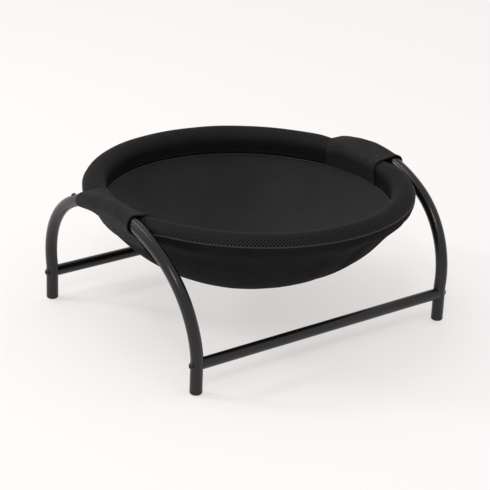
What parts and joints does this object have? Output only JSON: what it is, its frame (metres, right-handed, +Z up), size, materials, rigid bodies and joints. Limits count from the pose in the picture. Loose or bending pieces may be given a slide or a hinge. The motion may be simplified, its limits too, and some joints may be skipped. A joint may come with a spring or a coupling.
{
  "type": "hammock pet bed",
  "caption": "Round fabric bowl bed for a small dog, hung by its padded rim between two bent-tube arches that are bolted to a front and a back bar.",
  "frame": {"origin": "on the floor, midway between the four feet", "axes": "+Z up; X runs along the front and back bars, from the left arch to the right arch; -Y is the front"},
  "size_m": [0.4498, 0.4214, 0.1996],
  "materials": {
    "frame_coat": "satin",
    "bolt_finish": "satin",
    "cap_plastic": "matte",
    "inner_steel": "satin",
    "rim_foam": "matte",
    "rim_mesh": "matte",
    "trim": "matte",
    "bag_fabric": "matte",
    "wadding": "matte",
    "liner_fabric": "matte",
    "wrap_fabric": "matte",
    "hook_and_loop": "matte"
  },
  "bodies": {
    "root": {"left_arch_tube": "frame_coat", "right_arch_tube": "frame_coat", "front_bar_tube": "frame_coat", "back_bar_tube": "frame_coat", "joint_bolt_front_left": "bolt_finish", "joint_bolt_front_right": "bolt_finish", "joint_bolt_back_left": "bolt_finish", "joint_bolt_back_right": "bolt_finish", "wrap_stop_screw_left": "bolt_finish", "wrap_stop_screw_right": "bolt_finish", "foot_cap_front_left": "cap_plastic", "foot_cap_front_right": "cap_plastic", "foot_cap_back_left": "cap_plastic", "foot_cap_back_right": "cap_plastic", "bar_insert_front_left": "inner_steel", "bar_insert_front_right": "inner_steel", "bar_insert_back_left": "inner_steel", "bar_insert_back_right": "inner_steel", "hoop_back_half": "inner_steel", "hoop_front_half": "inner_steel", "hoop_connector_left": "inner_steel", "hoop_connector_right": "inner_steel", "rim_foam": "rim_foam", "rim_mesh_cover": "rim_mesh", "rim_outer_welt": "trim", "rim_inner_binding": "trim", "outer_bag": "bag_fabric", "bowl_wadding": "wadding", "bowl_liner": "liner_fabric", "left_wrap": "wrap_fabric", "right_wrap": "wrap_fabric", "left_loop_strip": "hook_and_loop", "left_hook_strip": "hook_and_loop", "right_loop_strip": "hook_and_loop", "right_hook_strip": "hook_and_loop"}
  },
  "joints": []
}
